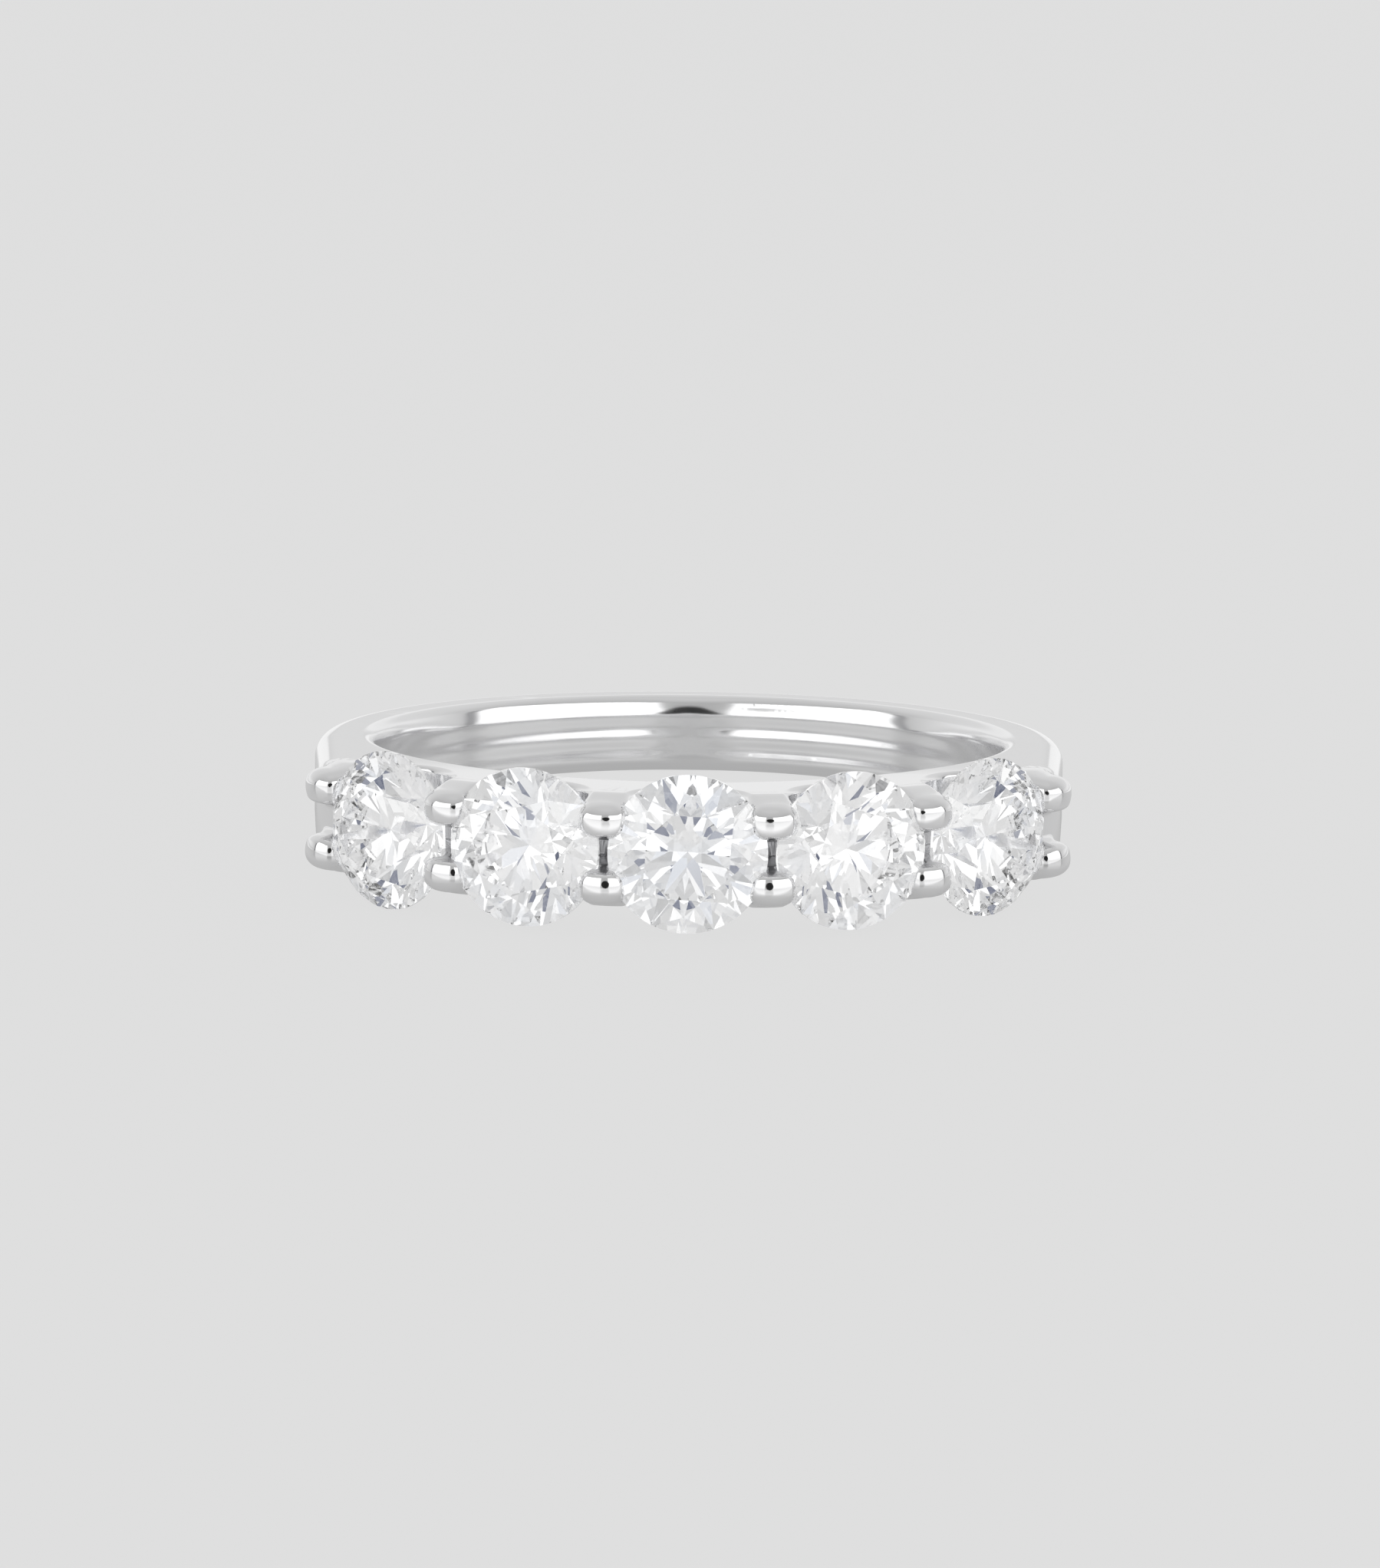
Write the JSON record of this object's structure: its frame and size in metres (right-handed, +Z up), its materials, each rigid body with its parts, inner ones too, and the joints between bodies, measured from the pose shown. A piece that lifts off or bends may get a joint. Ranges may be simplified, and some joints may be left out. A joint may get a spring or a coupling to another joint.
{
  "type": "diamond ring",
  "caption": "Finger ring in polished white metal with a row of round brilliant-cut diamonds in shared prongs, lying on its side",
  "frame": {"origin": "on the table under the middle of the ring's outline, as the ring lies on its side", "axes": "+Z up from the table, nearly along the finger hole; -Y towards the row of stones, +Y towards the back of the shank; X across the shoulders"},
  "size_m": [0.0198, 0.0216, 0.0043],
  "materials": {
    "white_gold": "polished",
    "diamond": "polished"
  },
  "bodies": {
    "root": {"ring_mount": "white_gold", "diamond_1": "diamond", "diamond_2": "diamond", "diamond_3": "diamond", "diamond_4": "diamond", "diamond_5": "diamond"}
  },
  "joints": []
}
